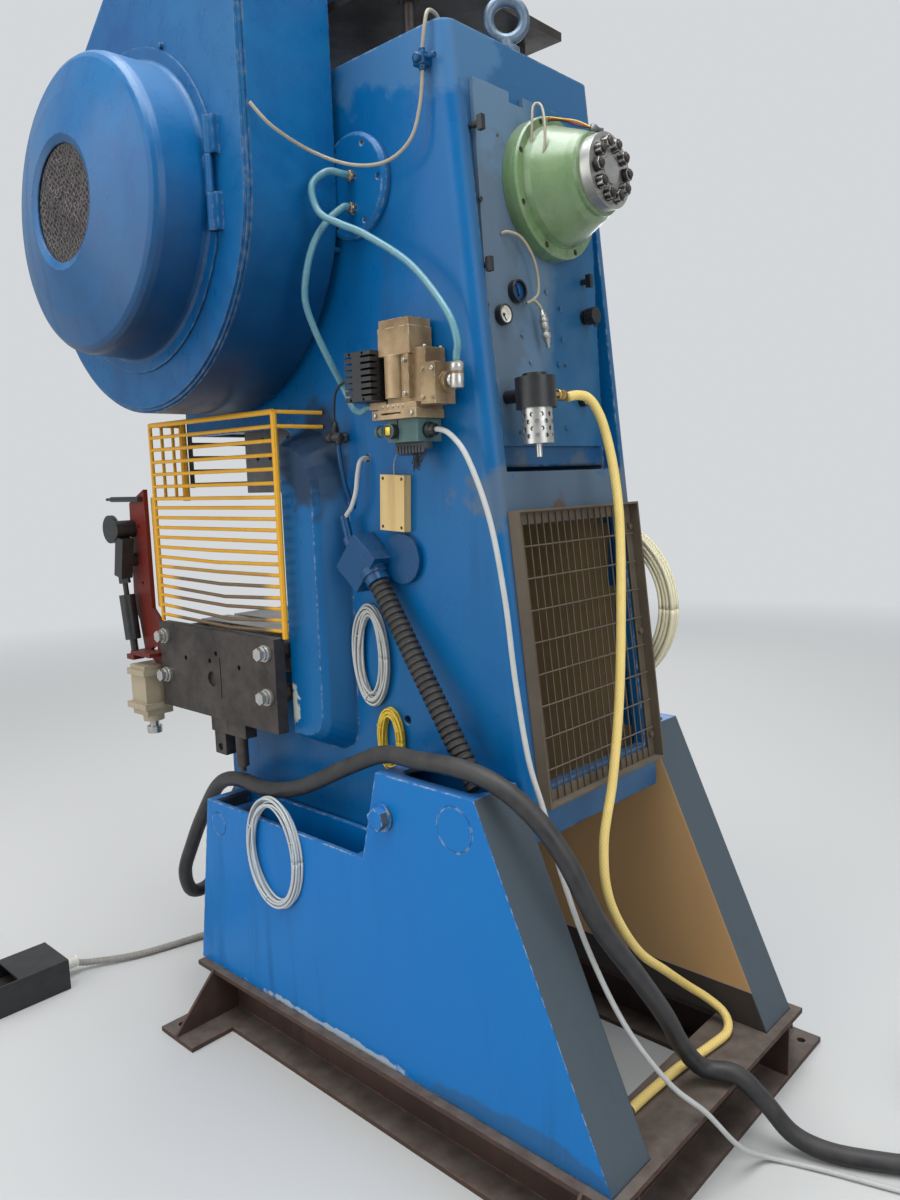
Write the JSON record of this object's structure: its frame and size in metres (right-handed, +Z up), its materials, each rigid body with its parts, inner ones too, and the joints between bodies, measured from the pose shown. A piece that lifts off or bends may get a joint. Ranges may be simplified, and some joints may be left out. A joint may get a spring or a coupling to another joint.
{
  "type": "mechanical stamping press",
  "caption": "Open back inclinable stamping press: C frame on two plate legs and a beam base, side flywheel under a domed guard, slide over a bolster, rod guards, air lines and foot pedal.",
  "frame": {"origin": "on the floor, at the centre of the four anchor holes in the base feet", "axes": "+Z up, +X to the operator's right on the flywheel side, +Y from the front where the die is loaded to the back"},
  "size_m": [1.7549, 2.855, 2.9808],
  "materials": {
    "machine_blue": "worn gloss enamel",
    "panel_blue": "faded enamel",
    "base_brown": "worn dark paint with rust",
    "fastener_steel": "dull",
    "bell_green": "aged enamel",
    "black_parts": "satin",
    "gauge_case": "gloss",
    "silver_metal": "satin",
    "mesh_brown": "dull",
    "valve_gold": "satin",
    "wiring_green": "satin",
    "line_teal": "satin",
    "box_tan": "matte",
    "conduit_blue": "gloss",
    "conduit_black": "matte",
    "guard_yellow": "worn enamel",
    "dark_steel": "oiled",
    "bracket_red": "worn enamel",
    "machined_steel": "ground",
    "cast_grey": "machined",
    "bronze": "satin",
    "net_brown": "matte",
    "belt_black": "matte",
    "motor_blue": "enamel",
    "conduit_grey": "satin",
    "hose_yellow": "matte",
    "cable_grey": "satin",
    "cable_black": "satin",
    "tube_clear": "gloss"
  },
  "bodies": {
    "machine": {"base_frame": "base_brown", "leg_right": "machine_blue", "leg_left": "machine_blue", "leg_fasteners": "fastener_steel", "press_frame": "machine_blue", "head_cover": "machine_blue", "rear_panel": "panel_blue", "panel_gauges": "gauge_case", "bell_housing": "bell_green", "bell_flange": "fastener_steel", "lifting_eye": "fastener_steel", "filter_head": "black_parts", "filter_bowl": "silver_metal", "grille_frame": "base_brown", "grille_mesh": "mesh_brown", "valve_body": "valve_gold", "valve_silencer": "black_parts", "valve_box": "wiring_green", "manifold_plate": "machine_blue", "service_lines": "line_teal", "terminal_box": "box_tan", "conduit_box": "conduit_blue", "ribbed_conduit": "conduit_black", "side_guard": "guard_yellow", "front_guard": "dark_steel", "bolster_plate": "machined_steel", "feed_plate": "dark_steel", "feed_bolts": "fastener_steel", "gate_bracket": "bracket_red", "gate_cylinder": "box_tan", "gate_linkage": "dark_steel", "slide_gibs": "bronze", "main_bearings": "bronze", "flywheel_housing": "machine_blue", "drive_belts": "belt_black", "motor_plate": "dark_steel", "motor": "motor_blue", "pedal_box": "black_parts", "pedal_conduit": "conduit_grey", "yellow_hose": "hose_yellow", "valve_cable": "cable_grey", "supply_cable": "cable_black", "cord_coils": "cable_black", "cable_hanks": "cable_grey", "tube_coil": "tube_clear"},
    "latch_a": {"latch_upper": "black_parts"},
    "latch_b": {"latch_lower": "black_parts"},
    "latch_c": {"latch_far": "black_parts"},
    "needle": {"gauge_needle": "gauge_case"},
    "knob": {"regulator_knob": "black_parts"},
    "gate_plunger": {"gate_rod": "fastener_steel"},
    "ram": {"slide": "cast_grey"},
    "crank": {"crankshaft": "machined_steel", "clutch_drum": "cast_grey"},
    "rod": {"connecting_rod": "cast_grey"},
    "wheel": {"flywheel": "cast_grey"},
    "pulley": {"motor_pulley": "cast_grey"},
    "door": {"dome_door": "machine_blue", "net_filling": "net_brown"},
    "treadle": {"pedal_treadle": "dark_steel"}
  },
  "joints": [
    {"name": "crank_turn", "type": "hinge", "parent": "machine", "child": "crank", "pos_m": [0, -0.593, 2.21], "axis": [1, 0, 0], "continuous": true},
    {"name": "rod_turn", "type": "hinge", "parent": "crank", "child": "rod", "pos_m": [0, -0.593, 2.25], "axis": [1, 0, 0], "continuous": true},
    {"name": "ram_slide", "type": "slide", "parent": "machine", "child": "ram", "axis": [0, 0, 1], "range_m": [-0.08, 0]},
    {"name": "flywheel_spin", "type": "hinge", "parent": "machine", "child": "wheel", "pos_m": [0.415, -0.593, 2.21], "axis": [1, 0, 0], "continuous": true},
    {"name": "motor_spin", "type": "hinge", "parent": "machine", "child": "pulley", "pos_m": [0.415, -0.3, 2.8], "axis": [1, 0, 0], "continuous": true},
    {"name": "door_swing", "type": "hinge", "parent": "machine", "child": "door", "pos_m": [0.5549, -0.236, 2.226], "axis": [0, 0, 1], "range_deg": [0, 100]},
    {"name": "latch_a_turn", "type": "hinge", "parent": "machine", "child": "latch_a", "pos_m": [0.218, 0.2312, 2.28014], "axis": [0, 0.9987, 0.0506], "range_deg": [0, 90]},
    {"name": "latch_b_turn", "type": "hinge", "parent": "machine", "child": "latch_b", "pos_m": [0.218, 0.24577, 1.99251], "axis": [0, 0.9987, 0.0506], "range_deg": [0, 90]},
    {"name": "latch_c_turn", "type": "hinge", "parent": "machine", "child": "latch_c", "pos_m": [-0.155, 0.24512, 2.0055], "axis": [0, 0.9987, 0.0506], "range_deg": [0, 90]},
    {"name": "needle_turn", "type": "hinge", "parent": "machine", "child": "needle", "pos_m": [0.164, 0.27066, 1.89665], "axis": [0, 0.9987, 0.0506], "range_deg": [-270, 0], "stiffness_Nm_per_rad": 0.001},
    {"name": "knob_turn", "type": "hinge", "parent": "machine", "child": "knob", "pos_m": [-0.157, 0.2613, 1.92321], "axis": [0, 0.9987, 0.0506], "range_deg": [-150, 150]},
    {"name": "gate_stroke", "type": "slide", "parent": "machine", "child": "gate_plunger", "axis": [0, 0, 1], "range_m": [-0.08, 0]},
    {"name": "treadle_press", "type": "hinge", "parent": "machine", "child": "treadle", "pos_m": [0.7, -1.23, 0.034], "axis": [0, 1, 0], "range_deg": [0, 4], "stiffness_Nm_per_rad": 40, "springref_deg": -4.58}
  ],
  "couplings": [
    {"joint": "rod_turn", "follows": "crank_turn", "ratio": -1},
    {"joint": "motor_spin", "follows": "flywheel_spin", "ratio": 4.204}
  ]
}
